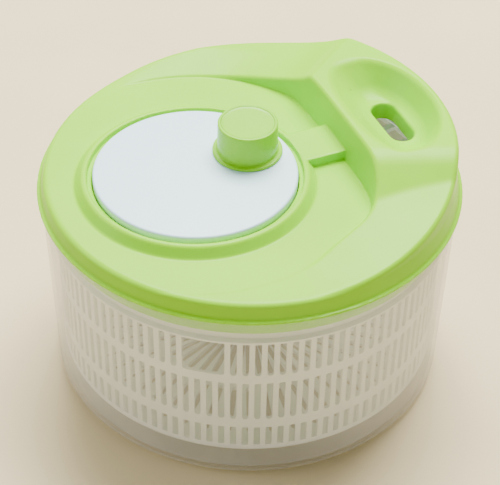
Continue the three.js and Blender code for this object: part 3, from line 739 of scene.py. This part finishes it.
def clear_plastic(name, colour, alpha, edge_alpha, roughness):
    """See-through plastic with a light haze: denser towards its edges, with faint flow marks."""
    material, shader = principled(name, colour, roughness, Specular_IOR_Level=0.5)
    nodes, links = material.node_tree.nodes, material.node_tree.links
    facing = nodes.new("ShaderNodeLayerWeight")
    facing.inputs["Blend"].default_value = 0.35
    haze = noise(material, 22.0, detail=4.0, stretch=(1, 1, 0.35))
    spread = nodes.new("ShaderNodeMath")
    spread.operation = "MULTIPLY_ADD"
    links.new(remap(material, haze.outputs["Fac"], -0.03, 0.03), spread.inputs[0])
    spread.inputs[1].default_value = 1.0
    links.new(remap(material, facing.outputs["Facing"], alpha, edge_alpha, 0.0, 1.0), spread.inputs[2])
    links.new(spread.outputs["Value"], shader.inputs["Alpha"])
    links.new(remap(material, haze.outputs["Fac"], roughness - 0.05, roughness + 0.08), shader.inputs["Roughness"])
    slow = noise(material, 9.0)
    dark = tuple(c * 0.95 for c in colour)
    vary_colour(material, shader, slow.outputs["Fac"], dark, colour)
    fine = noise(material, 700.0, detail=2.0)
    add_bump(material, shader, fine.outputs["Fac"], 1.5e-5, 0.25)
    return material


def brushed_metal(name, colour, roughness):
    material, shader = principled(name, colour, roughness, Metallic=1.0)
    streaks = noise(material, 420.0, detail=6.0, stretch=(1, 1, 9))
    links = material.node_tree.links
    links.new(remap(material, streaks.outputs["Fac"], roughness - 0.08, roughness + 0.12), shader.inputs["Roughness"])
    dark = tuple(c * 0.86 for c in colour)
    vary_colour(material, shader, streaks.outputs["Fac"], dark, colour)
    add_bump(material, shader, streaks.outputs["Fac"], 1e-5, 0.3)
    return material


GREEN = (0.31, 0.74, 0.0)
KNOB_GREEN = (0.27, 0.68, 0.0)
WHITE = (0.68, 0.92, 1.0)
INNER_WHITE = (0.88, 0.89, 0.86)
# painted glow: an emission colour, not a lamp, that lights the white parts under the lid
PAINTED_GLOW = (0.9, 1.0, 0.8, 1)   # stands in for light that thin white plastic carries under the lid
MATERIALS = {
    "lid_green": moulded_plastic("green_plastic", GREEN, 0.32, Specular_IOR_Level=0.16),
    "knob_green": moulded_plastic("knob_plastic", KNOB_GREEN, 0.27, Specular_IOR_Level=0.24),
    "crank_white": moulded_plastic("white_plastic", WHITE, 0.42, drift=0.015, grain=1300.0),
    # the inner white plastic carries a painted glow (emission) on the driver wheel and bearing cover, standing in for
    # light under the lid
    "inner_white": moulded_plastic("inner_plastic_glow", INNER_WHITE, 0.4, drift=0.03,
                                   Emission_Color=PAINTED_GLOW, Emission_Strength=0.22),
    "acetal": moulded_plastic("acetal_plastic", (0.85, 0.83, 0.76), 0.5, drift=0.03),
    "basket_white": clear_plastic("milky_plastic", (0.88, 0.90, 0.80), 0.97, 1.0, 0.42),
    "bowl_clear": clear_plastic("frosted_plastic", (0.92, 0.90, 0.82), 0.05, 0.5, 0.18),
    "steel": brushed_metal("stainless_steel", (0.62, 0.63, 0.64), 0.3),
}


# ---------------------------------------------------------------- the pieces, each on its body
def place(obj, body, slot, *nodes):
    obj.data.materials.clear()
    obj.data.materials.append(MATERIALS[slot])
    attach(obj, body)
    if nodes:
        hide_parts(*nodes)
    return obj


place(build_bowl(), "bowl", "bowl_clear", "outer_bowl")
place(build_basket(), "basket", "basket_white", "basket")
place(build_lid(), "lid", "lid_green", "lid_shell")
place(build_crank_disc(), "crank", "crank_white", "crank_disc")
place(build_knob(), "knob", "knob_green", "knob_body")
place(build_knob_cap(), "knob", "knob_green", "knob_cap")
place(build_driver(), "drive", "inner_white", "driver_disc")
place(build_bearing_plate(), "lid", "inner_white", "bearing_plate")
place(build_pin(), "bowl", "steel", "pivot_pin")
place(build_pivot_cup(), "pivot", "acetal", "pivot_cup")
place(ring_piece("crank_washer", "crank_plain_washer", 8.5, 1.7), "crank", "steel", "crank_washer")
place(ring_piece("driver_washer", "driver_plain_washer", 8, 1.7), "drive", "steel", "driver_washer")
place(ring_piece("thrust_washer", "pinion_washer", 7.8, 4.3, 0.15), "lid", "steel", "thrust_washer")
place(ring_piece("knob_washer", "knob_plain_washer", 7, 1.7), "crank", "steel", "knob_washer")
place(screw_piece("crank_screw", "crank_pan_screw", 4, 2.2), "crank", "steel", "crank_screw")
place(screw_piece("driver_screw", "driver_pan_screw", 3.6, 2.1), "drive", "steel", "driver_screw")
place(screw_piece("knob_screw", "knob_pan_screw", 3.6, 1.9, up=False), "crank", "steel", "knob_screw")
for i in (1, 2, 3):
    node = f"bearing_plate_screw_{i}"
    place(screw_piece(node, f"cover_pan_screw_{i}", 2.9, 1.8), "lid", "steel", node)
    node = f"ring_gear_screw_{i}"
    place(screw_piece(node, f"gear_pan_screw_{i}", 2.3, 1.8), "crank", "steel", node)

# the bushes and gears keep the frame's own meshes
for node in ("crank_bush", "shaft_bush", "ring_gear", "drive_pinion"):
    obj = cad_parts[node]
    obj.data.materials.clear()
    obj.data.materials.append(MATERIALS["acetal"])


# ---------------------------------------------------------------- floor, light and camera
def stage_material():
    material, shader = principled("floor_paint", (0.78, 0.64, 0.36), 0.6)
    slow = noise(material, 6.0)
    vary_colour(material, shader, slow.outputs["Fac"], (0.76, 0.62, 0.34), (0.80, 0.66, 0.38))
    return material


def build_floor():
    reach = 3.0
    corners = [(-reach, -reach, 0), (reach, -reach, 0), (reach, reach, 0), (-reach, reach, 0)]
    floor = new_object("floor", np.array(corners) / MM, [(0, 1, 2, 3)])
    floor.data.materials.append(stage_material())


def area_light(name, place_at, aim, size, power, colour=(1, 1, 1)):
    data = bpy.data.lights.new(name, "AREA")
    data.shape = "RECTANGLE"
    data.size, data.size_y = size
    data.energy = power
    data.color = colour
    lamp = bpy.data.objects.new(name, data)
    lamp.location = place_at
    lamp.rotation_euler = (Vector(aim) - Vector(place_at)).to_track_quat("-Z", "Y").to_euler()
    scene.collection.objects.link(lamp)


VIEW_TURN = math.radians(-24)     # from the view's own axes to the frame's


def seen(right, away, up):
    """A point given as right of, away from and above the middle of the foot, as the camera sees it."""
    c, s = math.cos(VIEW_TURN), math.sin(VIEW_TURN)
    return right * c - away * s, right * s + away * c, up


def build_lights():
    world = bpy.data.worlds.new("studio")
    world.use_nodes = True
    background = world.node_tree.nodes["Background"]
    background.inputs["Color"].default_value = (0.95, 0.97, 1.0, 1)
    background.inputs["Strength"].default_value = 0.32
    scene.world = world
    area_light("back_window", seen(-0.5, 1.5, 1.2), seen(0, 0, 0.1), (1.9, 1.0), 14, (1.0, 0.99, 0.96))
    area_light("high_window", seen(0.2, 0.85, 1.85), seen(0, 0, 0.1), (1.4, 1.0), 125, (1.0, 0.99, 0.97))
    area_light("left_fill", seen(-1.4, -0.1, 0.9), seen(0, 0, 0.08), (0.9, 0.9), 9)
    area_light("front_fill", seen(0.4, -1.5, 0.45), seen(0, 0, 0.06), (1.4, 0.7), 4)


def build_camera():
    """Long lens from the front left of the frame, 40 degrees up."""
    lens_px, frame_px, sensor = 1829.3, 500, 36.0
    distance, elevation, roll = 1.0867, math.radians(40.33), math.radians(0.945)
    target = Vector(seen(0.000675, 0, 0.0776))
    right = Vector(seen(1, 0, 0))
    back = Vector(seen(0, -math.cos(elevation), math.sin(elevation)))
    up = back.cross(right)
    rolled_right = math.cos(roll) * right + math.sin(roll) * up
    rolled_up = math.cos(roll) * up - math.sin(roll) * right
    data = bpy.data.cameras.new("camera")
    data.sensor_width = sensor
    data.lens = lens_px / frame_px * sensor
    data.clip_end = 20
    camera = bpy.data.objects.new("camera", data)
    rotation = Matrix((rolled_right, rolled_up, back)).transposed()
    camera.matrix_world = Matrix.Translation(target + back * distance) @ rotation.to_4x4()
    scene.collection.objects.link(camera)
    scene.camera = camera


build_floor()
build_lights()
build_camera()
